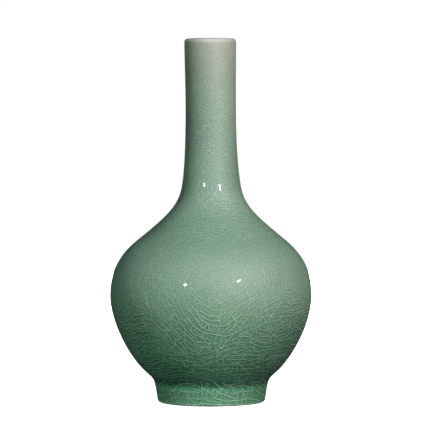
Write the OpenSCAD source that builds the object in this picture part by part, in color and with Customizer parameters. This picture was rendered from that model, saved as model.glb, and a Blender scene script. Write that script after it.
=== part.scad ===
// Long-necked porcelain bottle vase with a thick crackled celadon glaze.
//
// The body is thrown in sections that are luted together with slip while leather-hard: a foot
// ring, a base disc, the lower and upper halves of the belly, and the neck. Three coats of glaze
// cover it: outside, inside and in the well under the base. Only the foot rim is bare.
//
// Frame: the origin is the centre of the foot rim's resting plane, +Z is up the vase's axis.

/* [Radii, over the glaze] */
// Radius of the mouth, below the rounded lip
mouth_r = 21.4; // [21:0.1:22.5]
// Radius of the waist of the neck
neck_r = 20.8; // [20.5:0.1:21]
// Radius where the shoulder has become the neck
neck_root_r = 24.4; // [24:0.1:25]
// Radius where the shoulder turns from convex to concave
shoulder_r = 56; // [54:0.5:58]
// Greatest radius of the belly
belly_r = 83.2; // [80:0.1:86]
// Radius where the belly springs from the foot
spring_r = 55.1; // [54:0.1:56]
// Radius of the foot at its rim
foot_r = 44.5; // [44:0.1:45]

/* [Heights over the resting plane] */
// Height where the belly springs from the foot
spring_z = 26; // [25:0.5:27]
// Height of the belly's widest ring
belly_z = 89; // [86:1:92]
// Height where the shoulder turns from convex to concave
shoulder_z = 138; // [136:1:140]
// Height where the shoulder has become the neck
neck_root_z = 178; // [176:1:181]
// Height of the waist of the neck
neck_waist_z = 242; // [236:1:248]
// Height of the crest of the lip
height = 300; // [292:1:310]

/* [Wall and foot] */
// Radius of the hollow in the neck, before the inner glaze
throat_r = 17.2; // [16:0.1:17.4]
// Thickness of the wall at the belly, with the outer glaze
belly_wall = 5; // [4.5:0.1:6]
// Thickness of the base disc
base_t = 6.5; // [5:0.1:7]
// Height of the base disc's underside over the resting plane
well_z = 9.5; // [8:0.1:10]
// Radius of the well inside the foot ring, before the base glaze
well_r = 38; // [37:0.1:38.2]

/* [Glaze and luting slip] */
// Thickness of the outer glaze
outer_glaze_t = 0.8; // [0.5:0.05:1]
// Thickness of the inner glaze
inner_glaze_t = 0.5; // [0.4:0.05:0.7]
// Thickness of the glaze in the well under the base
base_glaze_t = 0.5; // [0.4:0.05:0.7]
// Thickness of the glaze on the crest of the lip, where it drains thin
lip_glaze_t = 0.4; // [0.3:0.05:0.5]
// Thickness of each layer of luting slip
slip_t = 1; // [1:0.1:1.4]

/* [Hidden] */
$fn = 96;

porcelain = "#e9e6dc";
slip = "#d9d3c2";
celadon = "#7fa88c";
pale_celadon = "#a9bfa8";
pooled_celadon = "#93b59c";

curve_steps = 12;  // straight pieces on each span of an outline
round_steps = 8;   // straight pieces on each rounded quarter
far = 2 * belly_r; // wider than anything in the part

// The lip is rounded with a wide radius outside and a tight one inside.
lip_out_r = 3;
crest_r = mouth_r - lip_out_r;
lip_out_z = height - lip_out_r;
throat_glazed_r = throat_r - inner_glaze_t;
lip_in_z = height - (crest_r - throat_glazed_r);
crest_z = height - lip_glaze_t;

// The hollow of the neck is a true cylinder above this height.
throat_z = neck_root_z + 26;

// The foot rim is a flat bearing ring with a rounded outer edge and a bevelled inner edge. The
// outer glaze thins to nothing where the rounded edge starts.
foot_edge_r = 2;
foot_edge_z = 2.5;
glaze_stop_z = 0.3;
well_glaze_stop_z = 1.3;
rim_bevel = 1;
rim_in_r = well_r + rim_bevel;
rim_out_r = foot_r - foot_edge_r - glaze_stop_z;

// Luting heights, each the underside of its layer of slip, and the height of the floor.
foot_seam_z = well_z + 1.5;
belly_seam_z = belly_z - slip_t / 2;
neck_seam_z = neck_root_z - 2;
floor_z = well_z + base_t;

// An outline is a row of knots, each [radius, height, lean, handle below, handle above]. Lean is
// the angle of the wall from the vertical, outwards as it rises. Each span is a cubic curve.
outer_knots = [
    [foot_r, foot_edge_z, 9, 0, 2],
    [foot_r + 0.9, foot_edge_z + 5.5, 9, 1.8, 13],
    [spring_r, spring_z, 46.5, 10.2, 18.8],
    [belly_r, belly_z, 0, 21.9, 29.3],
    [shoulder_r, shoulder_z, -50.4, 11.2, 24.6],
    [neck_root_r, neck_root_z, -10, 16, 18.5],
    [neck_r, neck_waist_z, 0, 13, 24],
    [mouth_r, lip_out_z, 0, 10, 0]];

inner_knots = [
    [well_r, floor_z, 90, 0, 8],
    [spring_r - 4.3, spring_z + 4.6, 46.5, 8.5, 17.5],
    [belly_r - belly_wall, belly_z, 0, 20.6, 27],
    [shoulder_r - 3.1, shoulder_z - 3.7, -50.4, 10.8, 22],
    [neck_root_r - 5.5, neck_root_z + 1, -9.9, 20.2, 7],
    [throat_r, throat_z, 0, 12, 0]];

function along(lean) = [sin(lean), cos(lean)];
function at(knot) = [knot[0], knot[1]];

// A point of the span between two knots, moved inwards from the curve by inset.
function span_point(low, high, t, inset) =
    let (p0 = at(low),
         p1 = p0 + low[4] * along(low[2]),
         p3 = at(high),
         p2 = p3 - high[3] * along(high[2]),
         s = 1 - t,
         point = s * s * s * p0 + 3 * s * s * t * p1 + 3 * s * t * t * p2 + t * t * t * p3,
         slope = s * s * (p1 - p0) + 2 * s * t * (p2 - p1) + t * t * (p3 - p2),
         normal = [slope[1], -slope[0]] / norm(slope))
    point - inset * normal;

// An outline's points from its first knot up to its last, without the last, moved inwards by inset.
function outline(knots, inset = 0) =
    [for (i = [0 : len(knots) - 2], step = [0 : curve_steps - 1])
        span_point(knots[i], knots[i + 1], step / curve_steps, inset)];

// A rounded quarter about a centre, with its own radius each way, from angle start, without its
// last point.
function quarter(centre, rx, rz, start) =
    [for (step = [0 : round_steps - 1])
        let (a = start + 90 * step / round_steps)
        centre + [rx * cos(a), rz * sin(a)]];

function reversed(points) = [for (i = [len(points) - 1 : -1 : 0]) points[i]];

foot_edge = [foot_r - foot_edge_r, foot_edge_z];
lip_out = [crest_r, lip_out_z];
lip_in = [crest_r, lip_in_z];

// The outside of the glazed vase, from the end of the glaze at the foot to the crest of the lip.
outside_glazed = concat(
    quarter(foot_edge, foot_edge_r, foot_edge_z - glaze_stop_z, -90),
    outline(outer_knots),
    quarter(lip_out, lip_out_r, lip_out_r, 0),
    [[crest_r, height]]);

// The outside of the porcelain under that glaze.
outside_bare = concat(
    quarter(foot_edge, foot_edge_r - outer_glaze_t, foot_edge_z - glaze_stop_z, -90),
    outline(outer_knots, outer_glaze_t),
    quarter(lip_out, lip_out_r - outer_glaze_t, crest_z - lip_out_z, 0),
    [[crest_r, crest_z]]);

// The inside of the porcelain, from the floor's edge to the crest of the lip.
inside_bare = concat(
    outline(inner_knots),
    [[throat_r, throat_z]],
    quarter(lip_in, throat_r - crest_r, crest_z - lip_in_z, 0),
    [[crest_r, crest_z]]);

// The inside of the inner glaze, from the middle of the floor to the crest of the lip.
inside_glazed = concat(
    [[0, floor_z + inner_glaze_t]],
    outline(inner_knots, inner_glaze_t),
    [[throat_glazed_r, throat_z]],
    quarter(lip_in, throat_glazed_r - crest_r, height - lip_in_z, 0),
    [[crest_r, height]]);

// The half section of the porcelain wall, without the base disc.
module wall() {
    polygon(concat(
        [[well_r, rim_bevel], [rim_in_r, 0], [rim_out_r, 0]],
        outside_bare,
        [for (i = [len(inside_bare) - 2 : -1 : 0]) inside_bare[i]]));
}

// The ring of the wall between two heights.
module ring(low, high) {
    rotate_extrude() intersection() {
        wall();
        translate([0, low]) square([far, high - low]);
    }
}

module foot_ring() {
    color(porcelain) ring(0, foot_seam_z);
}

module foot_seam() {
    color(slip) ring(foot_seam_z, foot_seam_z + slip_t);
}

module lower_body() {
    color(porcelain) ring(foot_seam_z + slip_t, belly_seam_z);
}

module belly_seam() {
    color(slip) ring(belly_seam_z, belly_seam_z + slip_t);
}

module upper_body() {
    color(porcelain) ring(belly_seam_z + slip_t, neck_seam_z);
}

module neck_seam() {
    color(slip) ring(neck_seam_z, neck_seam_z + slip_t);
}

module neck() {
    color(porcelain) ring(neck_seam_z + slip_t, height);
}

// The base disc closes the foot of the lower body, and is luted in round its edge.
module base_disc() {
    color(porcelain) translate([0, 0, well_z]) cylinder(h = base_t, r = well_r - slip_t);
}

module base_seam() {
    color(slip) rotate_extrude()
        translate([well_r - slip_t, well_z]) square([slip_t, base_t]);
}

// The outer glaze runs from the rim's outer edge to the crest of the lip.
module outer_glaze() {
    color(celadon) rotate_extrude() polygon(concat(
        outside_glazed,
        [for (i = [len(outside_bare) - 1 : -1 : 1]) outside_bare[i]]));
}

// The inner glaze runs from the crest of the lip down the throat and over the floor.
module inner_glaze() {
    color(pale_celadon) rotate_extrude() polygon(concat(
        [[0, floor_z]], inside_bare, reversed(inside_glazed)));
}

// The base glaze lines the roof and the wall of the well under the base.
module base_glaze() {
    color(pooled_celadon) rotate_extrude() polygon([
        [0, well_z], [well_r, well_z], [well_r, well_glaze_stop_z],
        [well_r - base_glaze_t, well_glaze_stop_z + base_glaze_t],
        [well_r - base_glaze_t, well_z - base_glaze_t], [0, well_z - base_glaze_t]]);
}

foot_ring();
base_disc();
lower_body();
upper_body();
neck();
foot_seam();
base_seam();
belly_seam();
neck_seam();
outer_glaze();
inner_glaze();
base_glaze();
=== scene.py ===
"""Long-necked porcelain bottle vase with a crackled celadon glaze.

The three coats of glaze are smooth turned meshes, a few tenths of a millimetre out of true, that
replace the CAD coats. The crackle is a grown network of fine veins lying in the outer glaze. The
fired body under the glaze is the CAD model's own. Lengths in the tables are millimetres, in the
CAD frame.
"""
import bisect
import math
import random

import bpy
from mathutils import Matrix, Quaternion, Vector, noise


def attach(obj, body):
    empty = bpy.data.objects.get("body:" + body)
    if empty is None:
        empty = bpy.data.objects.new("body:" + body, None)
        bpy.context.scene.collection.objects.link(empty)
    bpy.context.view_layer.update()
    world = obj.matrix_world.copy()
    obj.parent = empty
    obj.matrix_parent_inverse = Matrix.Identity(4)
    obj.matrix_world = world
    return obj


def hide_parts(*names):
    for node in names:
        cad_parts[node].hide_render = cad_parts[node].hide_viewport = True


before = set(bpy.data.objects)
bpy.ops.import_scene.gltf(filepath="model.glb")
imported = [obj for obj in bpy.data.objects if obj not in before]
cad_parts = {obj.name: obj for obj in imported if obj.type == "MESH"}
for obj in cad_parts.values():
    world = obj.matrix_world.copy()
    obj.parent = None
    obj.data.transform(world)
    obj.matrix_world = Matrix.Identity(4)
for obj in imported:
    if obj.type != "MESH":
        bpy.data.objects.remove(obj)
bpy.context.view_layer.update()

MM = 0.001

# ---------------------------------------------------------------- outlines, as the CAD model has them
# Knots are radius, height, lean of the wall outwards in degrees, handle below, handle above.
OUTER_KNOTS = (
    (44.5, 2.5, 9, 0, 2), (45.4, 8, 9, 1.8, 13), (55.1, 26, 46.5, 10.2, 18.8),
    (83.2, 89, 0, 21.9, 29.3), (56, 138, -50.4, 11.2, 24.6), (24.4, 178, -10, 16, 18.5),
    (20.8, 242, 0, 13, 24), (21.4, 297, 0, 10, 0))
INNER_KNOTS = (
    (38, 16, 90, 0, 8), (50.8, 30.6, 46.5, 8.5, 17.5), (78.2, 89, 0, 20.6, 27),
    (52.9, 134.3, -50.4, 10.8, 22), (18.9, 179, -9.9, 20.2, 7), (17.2, 204, 0, 12, 0))
HEIGHT = 300.0
CREST_R, LIP_R, THROAT_R = 18.4, 3.0, 16.7
FOOT_EDGE_R, FOOT_EDGE_Z, GLAZE_STOP_Z = 2.0, 2.5, 0.3
OUTER_T, INNER_T, BASE_T, LIP_T = 0.8, 0.5, 0.5, 0.4
WELL_R, WELL_Z, WELL_STOP_Z = 38.0, 9.5, 1.3
FLOOR_Z = 16
# Heights of the rings of points up the straight throat.
THROAT_RINGS = (204, 228, 252, 276)


def span_points(low, high, steps, inset=0.0):
    """Points of the cubic span between two knots, without its end, moved inwards by inset."""
    tangent = [Vector((math.sin(math.radians(k[2])), math.cos(math.radians(k[2]))))
               for k in (low, high)]
    p0, p3 = Vector(low[:2]), Vector(high[:2])
    p1, p2 = p0 + low[4] * tangent[0], p3 - high[3] * tangent[1]
    points = []
    for step in range(steps):
        t = step / steps
        s = 1 - t
        at = s**3 * p0 + 3 * s * s * t * p1 + 3 * s * t * t * p2 + t**3 * p3
        slope = s * s * (p1 - p0) + 2 * s * t * (p2 - p1) + t * t * (p3 - p2)
        slope.normalize()
        points.append(at - inset * Vector((slope.y, -slope.x)))
    return points


def outline(knots, steps, inset=0.0):
    points = []
    for low, high in zip(knots, knots[1:]):
        points += span_points(low, high, steps, inset)
    return points


def quarter(centre, rx, rz, start, steps):
    """A rounded quarter from angle start, without its end."""
    return [Vector((centre[0] + rx * math.cos(a), centre[1] + rz * math.sin(a)))
            for a in (math.radians(start + 90 * i / steps) for i in range(steps))]


def outer_line(steps, round_steps):
    """The glazed outside, from the end of the glaze at the foot to the crest of the lip."""
    return (quarter((OUTER_KNOTS[0][0] - FOOT_EDGE_R, FOOT_EDGE_Z),
                    FOOT_EDGE_R, FOOT_EDGE_Z - GLAZE_STOP_Z, -90, round_steps)
            + outline(OUTER_KNOTS, steps)
            + quarter((CREST_R, HEIGHT - LIP_R), LIP_R, LIP_R, 0, round_steps)
            + [Vector((CREST_R, HEIGHT))])


def under_outer_line(steps, round_steps):
    """The underside of the outer glaze, the same way."""
    return (quarter((OUTER_KNOTS[0][0] - FOOT_EDGE_R, FOOT_EDGE_Z),
                    FOOT_EDGE_R - OUTER_T, FOOT_EDGE_Z - GLAZE_STOP_Z, -90, round_steps)
            + outline(OUTER_KNOTS, steps, OUTER_T)
            + quarter((CREST_R, HEIGHT - LIP_R), LIP_R - OUTER_T, LIP_R - LIP_T, 0, round_steps)
            + [Vector((CREST_R, HEIGHT - LIP_T))])


def inner_line(steps, round_steps, inset):
    """The inside of the wall, or of its glaze, from the floor's edge to the crest of the lip."""
    radius = INNER_KNOTS[-1][0] - inset
    centre_z = HEIGHT - (CREST_R - THROAT_R)
    crest = HEIGHT - (0 if inset else LIP_T)
    return (outline(INNER_KNOTS, steps, inset)
            + [Vector((radius, z)) for z in THROAT_RINGS]
            + quarter((CREST_R, centre_z), radius - CREST_R, crest - centre_z, 0, round_steps)
            + [Vector((CREST_R, crest))])


def table(z, rows, smooth=False):
    """Interpolation in rows of (height, value), along straight lines or smooth ones."""
    for (z0, v0), (z1, v1) in zip(rows, rows[1:]):
        if z <= z1:
            t = min(max((z - z0) / (z1 - z0), 0), 1)
            if smooth:
                t = t * t * (3 - 2 * t)
            return v0 + t * (v1 - v0)
    return rows[-1][1]


# ---------------------------------------------------------------- the hand-thrown form
# How far the wall stands off the true axis to the right, by height, as a thrown wall wanders.
WANDER = ((0, 0), (20, 0), (55, -0.05), (92, -0.36), (118, 0), (150, 0.38), (172, 0.38), (230, 0),
          (300, -0.34))
# Where a finger pressed the wall out from within: azimuth from the front, radius, height, reach up
# the wall, which is half the reach round it, and depth.
PRESSES = ((20, 24.6, 176, 5, 0.17),)


def by_hand(point):
    """Moves a point of the true form a few tenths of a millimetre."""
    x, y, z = point
    r = math.hypot(x, y)
    a = math.atan2(y, x)
    swell = min(max(z / 40, 0), 1) * (0.07 * math.sin(2 * a + z / 60) + 0.03 * math.sin(3 * a - z / 23)
                                      + 0.008 * math.sin(2 * math.pi * z / 11.5 + a))
    for azimuth, radius, height, reach, depth in PRESSES:
        b = math.radians(azimuth)
        off = ((x - radius * math.sin(b))**2 + (y + radius * math.cos(b))**2) / 4 + (z - height)**2
        swell += depth * math.exp(-off / reach**2)
    k = 1 + swell * min(r / 20, 1) / max(r, 1)
    return Vector((x * k + table(z, WANDER, smooth=True), y * k, z))


def mesh_object(name, verts, faces, materials):
    mesh = bpy.data.meshes.new(name)
    mesh.from_pydata([tuple(v * MM for v in p) for p in verts], [], faces)
    mesh.validate()
    for m in materials:
        mesh.materials.append(m)
    mesh.shade_smooth()
    obj = bpy.data.objects.new(name, mesh)
    bpy.context.scene.collection.objects.link(obj)
    return obj


def revolve(name, loop, around, material):
    """A closed turned solid from a closed loop of (radius, height) points, counterclockwise.

    A loop may have one stretch on the axis.
    """
    verts, rings = [], []
    for p in loop:
        if p.x < 1e-6:
            rings.append([len(verts)] * around)
            verts.append(by_hand((0, 0, p.y)))
        else:
            rings.append([len(verts) + i for i in range(around)])
            for i in range(around):
                a = 2 * math.pi * i / around
                verts.append(by_hand((p.x * math.cos(a), p.x * math.sin(a), p.y)))
    faces = []
    for low, high in zip(rings, rings[1:] + rings[:1]):
        if low[0] == low[1] and high[0] == high[1]:
            continue
        for i in range(around):
            j = (i + 1) % around
            corners = [low[i], low[j], high[j], high[i]]
            faces.append([c for k, c in enumerate(corners) if c != corners[k - 1]])
    return mesh_object(name, verts, faces, [material])


# ---------------------------------------------------------------- materials
class Nodes:
    """A small helper that adds nodes and links to one material."""

    def __init__(self, name):
        self.material = bpy.data.materials.new(name)
        self.material.use_nodes = True
        self.tree = self.material.node_tree
        self.tree.nodes.clear()
        self.out = self.add("ShaderNodeOutputMaterial")
        self.shader = self.add("ShaderNodeBsdfPrincipled")
        self.link(self.shader.outputs[0], self.out.inputs["Surface"])

    def add(self, kind, **settings):
        n = self.tree.nodes.new(kind)
        for k, v in settings.items():
            setattr(n, k, v)
        return n

    def link(self, a, b):
        self.tree.links.new(a, b)

    def set(self, node, **values):
        for k, v in values.items():
            node.inputs[k.replace("_", " ")].default_value = v
        return node

    def math(self, operation, a, b, clamp=False):
        n = self.add("ShaderNodeMath", operation=operation, use_clamp=clamp)
        for socket, v in zip(n.inputs, (a, b)):
            if isinstance(v, (int, float)):
                socket.default_value = v
            else:
                self.link(v, socket)
        return n.outputs[0]

    def noise(self, at, scale, detail, roughness=0.5):
        n = self.add("ShaderNodeTexNoise")
        self.set(n, Scale=scale, Detail=detail, Roughness=roughness, Distortion=0.0)
        self.link(at, n.inputs["Vector"])
        return n.outputs["Fac"]

    def ramp(self, factor, stops, interpolation="LINEAR"):
        n = self.add("ShaderNodeValToRGB")
        n.color_ramp.interpolation = interpolation
        elements = n.color_ramp.elements
        elements[0].position, elements[1].position = stops[0][0], stops[-1][0]
        for position, _ in stops[1:-1]:
            elements.new(position)
        for e, (_, colour) in zip(elements, stops):
            e.color = (*colour, 1) if isinstance(colour, tuple) else (colour,) * 3 + (1,)
        self.link(factor, n.inputs["Fac"])
        return n.outputs["Color"]

    def mix(self, factor, a, b, blend="MIX"):
        n = self.add("ShaderNodeMix", data_type="RGBA", blend_type=blend)
        for socket, v in ((n.inputs[0], factor), (n.inputs[6], a), (n.inputs[7], b)):
            if isinstance(v, (int, float)):
                socket.default_value = v
            elif isinstance(v, tuple):
                socket.default_value = (*v, 1)
            else:
                self.link(v, socket)
        return n.outputs[2]

    def bump(self, height, strength, distance):
        n = self.add("ShaderNodeBump")
        self.set(n, Strength=strength, Distance=distance)
        self.link(height, n.inputs["Height"])
        return n.outputs["Normal"]

    def place(self):
        return self.add("ShaderNodeTexCoord").outputs["Object"]


# Colour of the glaze by height over the foot, in millimetres, linear. The foot's rows also hold
# painted light and shade: the lighter green at 12 to 15 mm is a painted highlight where the foot turns
# into the bowl, the very dark rows at 16.5 to 20 mm are painted shade under the belly, and the pale
# edge at 0 mm is partly glaze wiped thin and partly painted light against the shade on its rounded
# edge.
GLAZE_LIGHT_AND_SHADE_BY_HEIGHT = (
    (0, (0.88, 0.98, 0.90)), (2, (0.09, 0.28, 0.14)), (7, (0.09, 0.26, 0.135)),
    (9.5, (0.075, 0.22, 0.11)), (12, (0.10, 0.27, 0.165)), (15, (0.04, 0.26, 0.10)),
    (16.5, (0.007, 0.085, 0.032)), (20, (0.008, 0.08, 0.03)), (23, (0.05, 0.24, 0.13)),
    (32, (0.035, 0.17, 0.07)),
    (45, (0.07, 0.21, 0.11)), (62, (0.085, 0.215, 0.115)), (85, (0.145, 0.27, 0.16)),
    (115, (0.17, 0.28, 0.20)), (142, (0.155, 0.29, 0.18)), (162, (0.17, 0.285, 0.20)),
    (185, (0.14, 0.25, 0.165)), (230, (0.18, 0.255, 0.18)), (265, (0.215, 0.26, 0.20)),
    (288, (0.30, 0.32, 0.25)), (297, (0.35, 0.325, 0.26)), (300, (0.59, 0.52, 0.53)))
# Patches of painted shade and painted light, which darken the glaze near its left and right edges as
# seen from the front and lighten it at a few places: azimuth from the front, radius, height, reach,
# and tint.
PAINTED_LIGHT_AND_SHADE = (
    (68, 64, 36, 75, (0.40, 0.54, 0.46)), (80, 50, 12, 48, (0.66, 0.90, 0.62)),
    (95, 80, 128, 62, (0.80, 1.0, 0.90)), (-95, 80, 132, 62, (0.76, 0.98, 0.88)),
    (-92, 56, 140, 34, (0.60, 0.68, 0.62)), (-85, 21, 278, 46, (0.72, 0.74, 0.58)),
    (-88, 21, 228, 50, (0.48, 0.56, 0.54)), (85, 21, 240, 60, (1.22, 1.28, 1.20)),
    (85, 21, 292, 30, (1.16, 1.20, 1.12)), (2, 74, 66, 28, (1.26, 1.20, 1.22)),
    (-72, 50, 148, 30, (0.52, 0.62, 0.56)), (-76, 26, 172, 26, (0.52, 0.64, 0.58)),
    (-82, 76, 82, 46, (0.68, 0.74, 0.72)))
# Width of a cell of the finest crackle.
NET_CELL = 2.3


def glaze_colour(n, at):
    """The glaze's colour at a point, deeper where it pools and paler where it drains thin, with
    painted light and shade in its foot rows and its patches.
    """
    split = n.add("ShaderNodeSeparateXYZ")
    n.link(at, split.inputs[0])
    # The bands of colour wander, and less so towards the foot.
    loose = n.math("DIVIDE", split.outputs["Z"], 45 * MM, clamp=True)
    wander = n.math("MULTIPLY", n.math("SUBTRACT", n.noise(at, 16, 3), 0.5),
                    n.math("MULTIPLY", loose, 12 * MM))
    height = n.math("DIVIDE", n.math("ADD", split.outputs["Z"], wander), HEIGHT * MM)
    colour = n.ramp(height, [(h / HEIGHT, c) for h, c in GLAZE_LIGHT_AND_SHADE_BY_HEIGHT])
    cloud = n.ramp(n.noise(at, 34, 4, 0.6), ((0.3, (0.90, 0.92, 0.95)), (0.7, (1.09, 1.06, 1.04))))
    colour = n.mix(1.0, colour, cloud, "MULTIPLY")
    # Each patch multiplies the colour by its tint: painted shade where the tint is below one, painted
    # light where it is above.
    for azimuth, r, z, reach, painted_tint in PAINTED_LIGHT_AND_SHADE:
        a = math.radians(azimuth)
        off = n.add("ShaderNodeVectorMath", operation="DISTANCE")
        n.link(at, off.inputs[0])
        off.inputs[1].default_value = (r * MM * math.sin(a), -r * MM * math.cos(a), z * MM)
        away = n.math("DIVIDE", off.outputs["Value"], reach * MM)
        near = n.ramp(away, ((0.0, 1.0), (1.0, 0.0)), "EASE")
        colour = n.mix(near, colour, n.mix(1.0, colour, painted_tint, "MULTIPLY"))
    # The finest crackle is a net too small for its cracks to be seen one by one.
    bent = n.add("ShaderNodeVectorMath", operation="MULTIPLY_ADD")
    wave = n.add("ShaderNodeTexNoise")
    n.set(wave, Scale=260.0, Detail=2.0)
    n.link(at, wave.inputs["Vector"])
    n.link(wave.outputs["Color"], bent.inputs[0])
    bent.inputs[1].default_value = (1.4 * MM,) * 3
    n.link(at, bent.inputs[2])
    net = n.add("ShaderNodeTexVoronoi", feature="DISTANCE_TO_EDGE")
    n.set(net, Scale=1 / (NET_CELL * MM))
    n.link(bent.outputs[0], net.inputs["Vector"])
    line = n.ramp(net.outputs["Distance"], ((0.03, (1.7, 1.5, 1.6)), (0.11, (0.90, 0.92, 0.91))))
    shown = n.ramp(height, ((0.0, 0.9), (0.2, 0.9), (0.3, 0.6), (0.4, 0.5), (0.6, 0.55), (1.0, 0.4)))
    return n.mix(shown, colour, n.mix(1.0, colour, line, "MULTIPLY"))


# How milky the glaze is just under its surface, by height.
MILKY = ((0, 0.5), (45, 0.5), (62, 0.6), (90, 0.82), (120, 0.95), (300, 1.0))


def gloss(n, at):
    """A clear glossy surface over a glaze that scatters light broadly within."""
    n.set(n.shader, Roughness=0.7, IOR=1.8, Coat_Weight=0.4, Coat_Roughness=0.03, Coat_IOR=1.5)
    split = n.add("ShaderNodeSeparateXYZ")
    n.link(at, split.inputs[0])
    height = n.math("DIVIDE", split.outputs["Z"], HEIGHT * MM)
    milky = n.ramp(height, [(h / HEIGHT, level) for h, level in MILKY])
    n.link(milky, n.shader.inputs["Specular IOR Level"])


def glaze_material(name):
    n = Nodes(name)
    at = n.place()
    n.link(glaze_colour(n, at), n.shader.inputs["Base Color"])
    gloss(n, at)
    return n.material


def vein_material(name):
    """The crackle: the glaze's colour, made paler where a vein's tone is above zero and darker, as a
    painted shadow of the crack, where it is below zero.
    """
    n = Nodes(name)
    at = n.place()
    tone = n.add("ShaderNodeAttribute", attribute_type="GEOMETRY",
                 attribute_name="tone").outputs["Fac"]
    colour = glaze_colour(n, at)
    pale = n.mix(1.0, colour, (0.41, 0.54, 0.46), "ADD")
    # The painted shadow beside each crack, used where the tone is below zero.
    shadow_colour = n.mix(1.0, colour, (0.04, 0.12, 0.08), "MULTIPLY")
    with_shadow = n.mix(n.math("MULTIPLY", tone, -1.0, clamp=True), colour, shadow_colour)
    toned = n.mix(n.math("MULTIPLY", tone, 1.0, clamp=True), with_shadow, pale)
    n.link(toned, n.shader.inputs["Base Color"])
    gloss(n, at)
    return n.material


def body_material(name, colour, grain):
    n = Nodes(name)
    at = n.place()
    tone = n.ramp(n.noise(at, 60, 5, 0.6), ((0.3, 0.9), (0.7, 1.05)))
    n.link(n.mix(1.0, colour, tone, "MULTIPLY"), n.shader.inputs["Base Color"])
    n.link(n.bump(n.noise(at, grain, 4, 0.7), 0.4, 0.0001), n.shader.inputs["Normal"])
    n.set(n.shader, Roughness=0.75)
    return n.material


glaze = glaze_material("celadon_glaze")
veins = vein_material("crackle")
porcelain = body_material("bare_porcelain", (0.66, 0.60, 0.50), 900)
slip = body_material("fired_slip", (0.58, 0.52, 0.42), 700)

# ---------------------------------------------------------------- the fired body, from the CAD model
for node in ("foot_ring", "base_disc", "lower_body", "upper_body", "neck"):
    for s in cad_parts[node].material_slots:
        s.material = porcelain
for node in ("foot_seam", "base_seam", "belly_seam", "neck_seam"):
    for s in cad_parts[node].material_slots:
        s.material = slip

# ---------------------------------------------------------------- the three coats of glaze
# Points round the coats that show, and round those that hardly do.
AROUND, AROUND_INSIDE = 256, 128
# Steps along each span of an outline and round each rounded quarter.
OUTSIDE_STEPS, UNDERSIDE_STEPS, INSIDE_STEPS = (26, 10), (6, 4), (8, 6)
outer = revolve("outer_glaze_coat",
                outer_line(*OUTSIDE_STEPS) + under_outer_line(*UNDERSIDE_STEPS)[::-1][:-1],
                AROUND, glaze)
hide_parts("outer_glaze")
inner = revolve("inner_glaze_coat",
                [Vector((0, FLOOR_Z))] + inner_line(*INSIDE_STEPS, 0)
                + inner_line(*INSIDE_STEPS, INNER_T)[::-1][1:] + [Vector((0, FLOOR_Z + INNER_T))],
                AROUND_INSIDE, glaze)
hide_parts("inner_glaze")
base = revolve("base_glaze_coat",
               [Vector(p) for p in (
                   (0, WELL_Z - BASE_T), (WELL_R - BASE_T, WELL_Z - BASE_T),
                   (WELL_R - BASE_T, WELL_STOP_Z + BASE_T), (WELL_R, WELL_STOP_Z),
                   (WELL_R, WELL_Z), (0, WELL_Z))],
               AROUND_INSIDE, glaze)
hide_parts("base_glaze")
for piece, slot in ((outer, "outer_glaze"), (inner, "inner_glaze"), (base, "base_glaze")):
    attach(piece, "root")

# ---------------------------------------------------------------- the crackle in the outer glaze
# The outside's outline in fine steps, and the length along it of each of its points.
SURFACE = outer_line(60, 24)
S_AT = [0.0]
for a, b in zip(SURFACE, SURFACE[1:]):
    S_AT.append(S_AT[-1] + (b - a).length)
S_END = S_AT[-1]
# The angle of the side that faces the viewer.
FRONT = -math.pi / 2


def on_surface(s):
    """Radius, height and slope (dr, dz) of the outline at length s from the foot."""
    s = min(max(s, 0.0), S_END - 1e-6)
    i = bisect.bisect_right(S_AT, s) - 1
    a, b = SURFACE[i], SURFACE[i + 1]
    t = (s - S_AT[i]) / (S_AT[i + 1] - S_AT[i])
    d = (b - a) / (S_AT[i + 1] - S_AT[i])
    return a.x + t * (b.x - a.x), a.y + t * (b.y - a.y), d.x, d.y


def s_of_height(z):
    """Length along the outline at a height, below the lip."""
    return S_AT[bisect.bisect_left([p.y for p in SURFACE], z)]


def glaze_place(azimuth, z):
    """The point on the glaze at an azimuth from the front and a height."""
    r = on_surface(s_of_height(z))[0]
    a = FRONT + math.radians(azimuth)
    return r * math.cos(a), r * math.sin(a), z


# Centres that the long cracks curl round: azimuth from the front, height, reach, weight.
WHIRLS = ((4, 104, 64, 1.2), (96, 92, 50, 0.8), (-128, 106, 58, 1.2), (172, 70, 46, 1.0),
          (58, 150, 30, 0.4))
# How far the curling is from round.
OVAL = 1.2
# Places where they keep one direction instead: azimuth, height, reach, weight, slope in degrees.
PATCHES = ((44, 62, 30, 1.3, 8), (60, 64, 28, 2.2, 8), (66, 106, 28, 1.2, 98), (-68, 54, 32, 2.2, -6),
           (-62, 96, 26, 1.0, 84), (-40, 160, 24, 1.8, 52), (34, 150, 26, 1.6, -2),
           (-150, 150, 30, 1.0, 40))
# By height: the long cracks' slope in degrees, what the slope gains to the right and loses to the
# left, and the weight of that slope beside the whirls and patches.
LEAN = ((0, 4), (30, 4), (60, 0), (120, -8), (148, -30), (166, -80), (192, -75), (212, -35),
        (240, -26), (300, -14))
LEAN_ROUND = ((0, 0), (195, 0), (220, -16), (300, -10))
OWN = ((0, 2.0), (30, 1.6), (50, 0.5), (80, 0.10), (140, 0.12), (175, 0.8), (200, 3.0), (300, 3.0))
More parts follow.
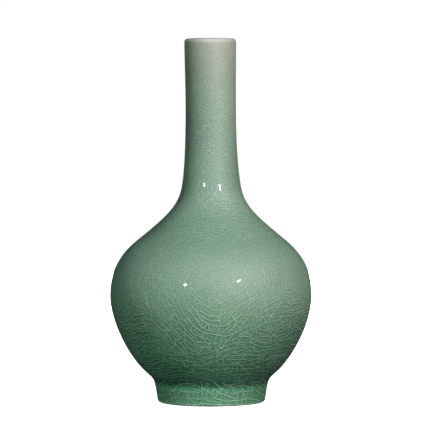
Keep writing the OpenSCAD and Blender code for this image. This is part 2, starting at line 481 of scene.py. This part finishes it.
# By height: gap between the long cracks, gap between their cross cracks, half the widest cell left
# open, longest reach of a long crack to each side, share of them that run over others, half width
# of a crack, how strongly it shows, and how far the cracks stray from the flow.
GAP = ((0, 4.6), (16, 4.2), (24, 2.6), (34, 3.3), (60, 3.2), (78, 2.8), (92, 2.4), (140, 2.2),
       (180, 1.8), (300, 1.6))
CROSS_GAP = ((0, 5.0), (22, 5.0), (40, 6.0), (60, 6.5), (90, 5.0), (130, 4.5), (170, 3.2), (190, 2.4),
             (300, 2.4))
CELL = ((0, 2.5), (24, 1.8), (40, 1.8), (60, 1.7), (90, 1.6), (130, 1.5), (180, 1.2), (300, 1.2))
LENGTH = ((0, 20), (24, 26), (60, 32), (95, 26), (130, 20), (165, 15), (190, 8), (300, 7))
OVER = ((0, 0.3), (26, 0.35), (85, 0.35), (105, 0.12), (300, 0.08))
HALF = ((0, 0.34), (60, 0.32), (100, 0.28), (180, 0.24), (300, 0.22))
SHOWN = ((0, 0.58), (14, 0.58), (16, 0.42), (23, 0.64), (40, 0.72), (55, 0.66), (70, 0.70), (85, 0.54),
         (105, 0.40), (125, 0.52), (140, 0.66), (165, 0.46), (180, 0.34), (240, 0.43), (280, 0.23),
         (300, 0.08))
# Places where they show less or more than that: azimuth, height, reach, change.
BOLDNESS = ((3, 113, 38, -0.7), (80, 80, 28, 0.6), (40, 94, 22, -0.25), (0, 68, 20, 0.3))
STRAY = ((0, 0.9), (40, 0.9), (70, 1.0), (100, 0.95), (160, 0.6), (200, 0.5), (300, 0.5))
# Size of the waves in which they stray.
STRAY_SIZE = 34
# Length of a growing step, and how near the glaze's two ends a crack may come.
STEP, MARGIN = 1.0, 0.4
# A growing crack meets another within this reach, and runs on unhindered for some steps if it
# crosses it.
TOUCH, CROSSING_STEPS = 0.9, 3
# Least distance between the starts of slanting cracks and others of their kind.
SLANT_ROOM = 6.5
# A little more than the greatest radius.
WIDEST_R = 84
# Cells of the two grids in which the cracks' points are looked up.
FINE_CELL, WIDE_CELL = 2, 5


def cell(p, size):
    return int(p[0] // size), int(p[1] // size), int(p[2] // size)


def beside(grid, p, size, cells=1):
    """What a grid holds in the cells round a place."""
    i, j, k = cell(p, size)
    for x in range(i - cells, i + cells + 1):
        for y in range(j - cells, j + cells + 1):
            for z in range(k - cells, k + cells + 1):
                yield from grid.get((x, y, z), ())


class Crackle:
    """Cracks grown step by step over the glaze, each ending where it meets an older one."""

    def __init__(self, seed):
        self.random = random.Random(seed)
        self.near, self.wide, self.cracks = {}, {}, []
        self.centres = [(*glaze_place(azimuth, z), *rest) for azimuth, z, *rest in WHIRLS]
        self.patches = [(*glaze_place(azimuth, z), reach, weight, math.radians(slope))
                        for azimuth, z, reach, weight, slope in PATCHES]

    def point(self, a, s):
        r, z, dr, dz = on_surface(s)
        ca, sa = math.cos(a), math.sin(a)
        return (r * ca, r * sa, z), r, (dr * ca, dr * sa, dz), (-sa, ca, 0.0)

    def flow(self, a, s):
        """Angle of the long cracks here, from the level direction towards up the wall."""
        p, r, up, side = self.point(a, s)
        z = p[2]
        lean = table(z, LEAN)
        lean += table(z, LEAN_ROUND) * math.cos(a)
        lean = math.radians(lean) * 2
        own = table(z, OWN)
        x, y = own * math.cos(lean), own * math.sin(lean)
        for cx, cy, cz, reach, weight in self.centres:
            d = (p[0] - cx, p[1] - cy, p[2] - cz)
            u = d[0] * side[0] + d[1] * side[1]
            v = d[0] * up[0] + d[1] * up[1] + d[2] * up[2]
            far = (d[0]**2 + d[1]**2 + d[2]**2) / reach**2
            w = weight * math.exp(-far) * (1 - math.exp(-far * 9))
            turn = 2 * math.atan2(OVAL * u, -v)
            x += w * math.cos(turn)
            y += w * math.sin(turn)
        for cx, cy, cz, reach, weight, slope in self.patches:
            far = ((p[0] - cx)**2 + (p[1] - cy)**2 + (p[2] - cz)**2) / reach**2
            w = weight * math.exp(-far)
            x += w * math.cos(2 * slope)
            y += w * math.sin(2 * slope)
        q = Vector(p) / STRAY_SIZE
        stray = noise.noise(q) + 0.5 * noise.noise(q * 2.7)
        return math.atan2(y, x) / 2 + table(z, STRAY) * stray

    def calm(self, p):
        """How far a place is from the quiet middle of a whirl, from 0 to 1."""
        quiet = 0.0
        for cx, cy, cz, reach, weight in self.centres:
            d = (p[0] - cx)**2 + (p[1] - cy)**2 + (p[2] - cz)**2
            quiet = max(quiet, min(weight, 1) * math.exp(-d / (0.36 * reach)**2))
        return 1 - quiet

    def put(self, p, crack, level):
        self.near.setdefault(cell(p, FINE_CELL), []).append((p, crack, level))
        self.wide.setdefault(cell(p, WIDE_CELL), []).append((p, crack, level))

    def nearest(self, grid, size, p, reach, skip):
        """The nearest point of another crack within reach, which is under the grid's cell size."""
        best, found = reach * reach, None
        for q, crack, _ in beside(grid, p, size):
            if crack in skip:
                continue
            d = (p[0] - q[0])**2 + (p[1] - q[1])**2 + (p[2] - q[2])**2
            if d < best:
                best, found = d, q
        return found

    def room(self, p, reach, skip=(), level=None):
        """True if no crack, or none of a level, lies within reach, which is under 10 mm."""
        cells = 1 if reach <= WIDE_CELL else 2
        for q, crack, lev in beside(self.wide, p, WIDE_CELL, cells):
            if crack in skip or (level is not None and lev != level):
                continue
            if (p[0] - q[0])**2 + (p[1] - q[1])**2 + (p[2] - q[2])**2 < reach * reach:
                return False
        return True

    def arm(self, a, s, heading, length, follow, wobble, apart, skip, crosses, drift=0.0):
        """One growing end. Returns its points, as (position, a, s)."""
        points = []
        phase = self.random.uniform(0, 100)
        crossing = 0
        for step in range(int(length / STEP)):
            r = on_surface(s)[0]
            if follow:
                want = self.flow(a, s) + drift
                turn = (want - heading + math.pi / 2) % math.pi - math.pi / 2
                heading += follow * turn
            bend = 0.8 * noise.noise((phase, step * 0.13, 0.0)) + noise.noise((phase, step * 0.41, 7))
            away = heading + wobble * bend
            a += STEP * math.cos(away) / r
            s += STEP * math.sin(away)
            if not MARGIN < s < S_END - MARGIN:
                break
            p = self.point(a, s)[0]
            if crossing:
                crossing -= 1
            else:
                hit = self.nearest(self.near, FINE_CELL, p, TOUCH, skip)
                if hit and crosses > 0 and self.random.random() < 0.6:
                    crosses -= 1
                    crossing = CROSSING_STEPS
                elif hit:
                    points.append((hit, a, s))
                    break
            points.append((p, a, s))
            if apart and step > 3 and not crossing and not self.room(p, apart, skip):
                # A long crack that comes alongside another turns in to it half of the time.
                hit = self.nearest(self.wide, WIDE_CELL, p, apart + 1.5, skip)
                if hit and self.random.random() < 0.5:
                    for k in (1, 2):
                        between = tuple(p[i] + (hit[i] - p[i]) * k / 2 for i in range(3))
                        points.append((between, a, s))
                break
        return points

    def both_ways(self, p, a, s, heading, *growth):
        """A crack's points, grown from its middle both ways."""
        one = self.arm(a, s, heading, *growth)
        two = self.arm(a, s, heading + math.pi, *growth)
        return two[::-1] + [(p, a, s)] + one

    def keep(self, points, level, strength):
        if len(points) < 3:
            return
        crack = len(self.cracks)
        for p, _, _ in points:
            self.put(p, crack, level)
        self.cracks.append((points, level, strength))

    def anywhere(self):
        """A random place, even over the surface."""
        while True:
            s = self.random.uniform(1, S_END - 1)
            if self.random.random() < on_surface(s)[0] / WIDEST_R:
                return self.random.uniform(-math.pi, math.pi), s

    def long_cracks(self, tries):
        for _ in range(tries):
            a, s = self.anywhere()
            p = self.point(a, s)[0]
            gap = table(p[2], GAP) * self.random.uniform(0.8, 1.3) * (1.7 - 0.7 * self.calm(p))
            if not self.room(p, gap):
                continue
            drift = self.random.gauss(0, 0.08)
            length = table(p[2], LENGTH) * self.random.uniform(0.3, 1)
            heading = self.flow(a, s) + drift
            crack = (len(self.cracks),)
            crosses = int(self.random.random() < table(p[2], OVER))
            points = self.both_ways(p, a, s, heading, length, 0.4, 0.45, gap * 0.52, crack,
                                    crosses, drift)
            self.keep(points, 1, self.random.uniform(0.7, 1.0))

    def cross_cracks(self, tries):
        long = [c for c in self.cracks if c[1] == 1 and len(c[0]) > 4]
        weights = [len(c[0]) for c in long]
        for points, _, _ in self.random.choices(long, weights, k=tries):
            i = self.random.randrange(1, len(points) - 1)
            p, a, s = points[i]
            if not self.room(p, table(p[2], CROSS_GAP) * self.random.uniform(0.45, 1.0), (), 2):
                continue
            r = on_surface(s)[0]
            b, t = points[i - 1][1:]
            along = math.atan2(s - t, (a - b) * r)
            heading = along + self.random.choice((-1, 1)) * (math.pi / 2 + self.random.gauss(0, 0.22))
            own = next(k for k, c in enumerate(self.cracks) if c[0] is points)
            crosses = self.random.choice((0, 0, 0, 1))
            arm = self.arm(a, s, heading, self.random.uniform(8, 20), 0, 0.5, 0, (own,), crosses)
            self.keep([(p, a, s)] + arm, 2, self.random.uniform(0.65, 0.95))

    def slanting_cracks(self, tries, low, high):
        """Long cracks of a later firing, which run slantwise over the first ones."""
        for _ in range(tries):
            a, s = self.anywhere()
            p = self.point(a, s)[0]
            if not low < p[2] < high or not self.room(p, SLANT_ROOM, (), 4):
                continue
            drift = self.random.choice((-1, 1)) * self.random.uniform(0.5, 1.0)
            length = self.random.uniform(6, 16)
            heading = self.flow(a, s) + drift
            crack = (len(self.cracks),)
            points = self.both_ways(p, a, s, heading, length, 0.1, 0.3, 0, crack, 5, drift)
            self.keep(points, 4, self.random.uniform(0.5, 0.85))

    def filling_cracks(self, tries, level):
        for _ in range(tries):
            a, s = self.anywhere()
            p = self.point(a, s)[0]
            if not self.room(p, table(p[2], CELL) * (1.7 - 0.7 * self.calm(p))):
                continue
            heading = self.flow(a, s) + self.random.choice((math.pi / 2, 0)) \
                + self.random.gauss(0, 0.3)
            crack = (len(self.cracks),)
            points = self.both_ways(p, a, s, heading, 16, 0, 0.6, 0, crack, 0)
            self.keep(points, level, self.random.uniform(0.3, 0.75))


def thinned(points):
    """Without the points that lie almost straight between their neighbours, up to 3 mm apart."""
    kept = [points[0]]
    for i in range(1, len(points) - 1):
        a, b, c = (Vector(q[0]) for q in (kept[-1], points[i], points[i + 1]))
        if (c - a).length > 3 or (b - (a + c) / 2).length > 0.06:
            kept.append(points[i])
    return kept + [points[-1]]


# Across a vein, from its upper side to its lower one: place, lift over the glaze in millimetres, and
# tone. The negative tone on its lower side is a painted shadow of the crack, laid on the side away
# from the lamps.
ACROSS = ((-1.2, 0.02, 0.0), (-0.6, 0.045, 1.0), (0.6, 0.045, 1.0), (1.4, 0.03, -1.0),
          (2.9, 0.03, -1.0), (4.1, 0.02, 0.0))
# How far a vein's root lies under the glaze's surface.
ROOT = 0.2
SIDES = len(ACROSS) + 1
# The direction that a vein's painted shadow is turned to: backwards and down, away from the lamps.
SHADE = Vector((-0.1, 0.9, -0.4))


def up_wall(p, s):
    """The direction up the wall at a point that lies at length s."""
    _, _, dr, dz = on_surface(s)
    at = math.atan2(p[1], p[0])
    return Vector((dr * math.cos(at), dr * math.sin(at), dz))


def outward(p, s):
    """The thrown surface's normal at a point that lies at length s."""
    r, z, dr, dz = on_surface(s)
    at = math.atan2(p[1], p[0])
    up = [by_hand(((r + k * dr) * math.cos(at), (r + k * dr) * math.sin(at), z + k * dz))
          for k in (-1, 1)]
    side = [by_hand((r * math.cos(b), r * math.sin(b), z)) for b in (at - 1 / r, at + 1 / r)]
    return (side[1] - side[0]).cross(up[1] - up[0]).normalized()


def vein_mesh(name, cracks, material):
    """Closed veins along the cracks, sunk in the glaze with their tops just proud of it."""
    verts, faces, normals, tones = [], [], [], []
    for points, level, strength in cracks:
        points = thinned(points)
        middle = points[len(points) // 2][0]
        strength *= table(middle[2], SHOWN)
        for azimuth, z, reach, change in BOLDNESS:
            far = (Vector(middle) - Vector(glaze_place(azimuth, z))).length
            strength *= 1 + change * math.exp(-(far / reach)**2)
        half = table(middle[2], HALF)
        lift = 0.004 * (3 - min(level, 3))
        along = Vector(points[-1][0]) - Vector(points[0][0])
        if outward(*points[len(points) // 2][::2]).cross(along).dot(SHADE) < 0:
            points = points[::-1]
        path = [by_hand(p) for p, _, _ in points]
        out = [outward(p, s) for p, a, s in points]
        start = len(verts)
        for i, p in enumerate(path):
            ahead = path[min(i + 1, len(path) - 1)] - path[max(i - 1, 0)]
            side = out[i].cross(ahead).normalized()
            taper = 0.35 if i in (0, len(path) - 1) else 1.0
            # The normal turns across a vein as it does across the glaze under it.
            true, _, s = points[i]
            turn = outward(Vector(true) + side, s + side.dot(up_wall(true, s))) - out[i]
            for place, height, tone in ACROSS:
                off = half * taper * place
                at = p + out[i] * (height + lift) + side * off
                at.z = max(at.z, GLAZE_STOP_Z)
                verts.append(at)
                normals.append((out[i] + turn * off).normalized())
                tones.append(tone * strength)
            verts.append(p - out[i] * ROOT)
            normals.append(out[i])
            tones.append(0.0)
        for i in range(start, len(verts) - SIDES, SIDES):
            for k in range(SIDES):
                j = (k + 1) % SIDES
                faces.append((i + j, i + k, i + SIDES + k, i + SIDES + j))
        faces += [tuple(start + k for k in range(SIDES)),
                  tuple(len(verts) - 1 - k for k in range(SIDES))]
    obj = mesh_object(name, verts, faces, [material])
    values = obj.data.attributes.new("tone", "FLOAT", "POINT")
    values.data.foreach_set("value", tones)
    obj.data.normals_split_custom_set_from_vertices([tuple(v) for v in normals])
    return obj


SEED = 11
crackle = Crackle(SEED)
crackle.long_cracks(24000)
crackle.slanting_cracks(5000, 30, 92)
crackle.cross_cracks(14000)
crackle.filling_cracks(32000, 3)

zones = (("lip", 240, 301), ("neck", 180, 240), ("shoulder", 130, 180), ("belly", 95, 130),
         ("waist", 65, 95), ("bowl", 24, 65), ("foot", -1, 24))
for zone, low, high in zones:
    own = [c for c in crackle.cracks if low <= c[0][len(c[0]) // 2][0][2] < high]
    piece = vein_mesh("crackle_" + zone, own, veins)
    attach(piece, "root")

# ---------------------------------------------------------------- floor, light and camera
REACH = 4000
floor = mesh_object("floor", [(-REACH, -REACH, 0), (REACH, -REACH, 0), (REACH, REACH, 0),
                              (-REACH, REACH, 0)], [(0, 1, 2, 3)], [])
n = Nodes("pale_floor")
n.set(n.shader, Base_Color=(0.9, 0.9, 0.9, 1), Roughness=0.9, Emission_Color=(1, 1, 1, 1),
      Emission_Strength=1.0)
floor.data.materials.append(n.material)
floor.visible_diffuse = floor.visible_glossy = floor.visible_shadow = False

world = bpy.data.worlds.new("studio")
bpy.context.scene.world = world
world.use_nodes = True
tree = world.node_tree
tree.nodes.clear()
seen = tree.nodes.new("ShaderNodeBackground")
seen.inputs["Color"].default_value = (1, 1, 1, 1)
around_it = tree.nodes.new("ShaderNodeBackground")
around_it.inputs["Color"].default_value = (0.012, 0.012, 0.012, 1)
ray = tree.nodes.new("ShaderNodeLightPath")
choose = tree.nodes.new("ShaderNodeMixShader")
world_out = tree.nodes.new("ShaderNodeOutputWorld")
tree.links.new(ray.outputs["Is Camera Ray"], choose.inputs[0])
tree.links.new(around_it.outputs[0], choose.inputs[1])
tree.links.new(seen.outputs[0], choose.inputs[2])
tree.links.new(choose.outputs[0], world_out.inputs[0])

# The point that the lamps face.
AIM = Vector((0, 0, 0.13))


def lamp(name, azimuth, elevation, distance, size, watts, glossy=True, colour=(1, 1, 1)):
    """A round soft light facing the vase. Azimuth is right of the camera, seen from the vase."""
    a, e = math.radians(azimuth), math.radians(elevation)
    data = bpy.data.lights.new(name, "AREA")
    data.shape = "DISK"
    data.size = size
    data.energy = watts
    data.color = colour
    obj = bpy.data.objects.new(name, data)
    bpy.context.scene.collection.objects.link(obj)
    away = Vector((math.sin(a) * math.cos(e), -math.cos(a) * math.cos(e), math.sin(e)))
    obj.location = AIM + distance * away
    obj.rotation_euler = away.to_track_quat("Z", "Y").to_euler()
    obj.visible_camera = False
    obj.visible_glossy = glossy


lamp("left_lamp", -29.5, 18.2, 2.0, 0.11, 14, colour=(0.71, 1.0, 0.90))
lamp("right_lamp", 33, 22.4, 2.0, 0.15, 36)
lamp("back_lamp", 180, 8, 2.0, 0.3, 34, glossy=False)
# The light that a pale floor sends up under the belly.
lamp("left_bounce", -84, -26, 2.0, 0.6, 2.4, glossy=False)
lamp("right_bounce", 125, -16, 2.0, 0.6, 2.6, glossy=False)

camera = bpy.data.objects.new("camera", bpy.data.cameras.new("camera"))
bpy.context.scene.collection.objects.link(camera)
bpy.context.scene.camera = camera
camera.data.lens = 223
camera.location = (0.0033, -2.2, 0.225)
target = Vector((0.0033, 0, 0.15445))
roll = Quaternion((0, 0, 1), math.radians(-0.13))
aim = (target - camera.location).to_track_quat("-Z", "Y") @ roll
camera.rotation_euler = aim.to_euler()
bpy.context.scene.view_settings.view_transform = "Standard"
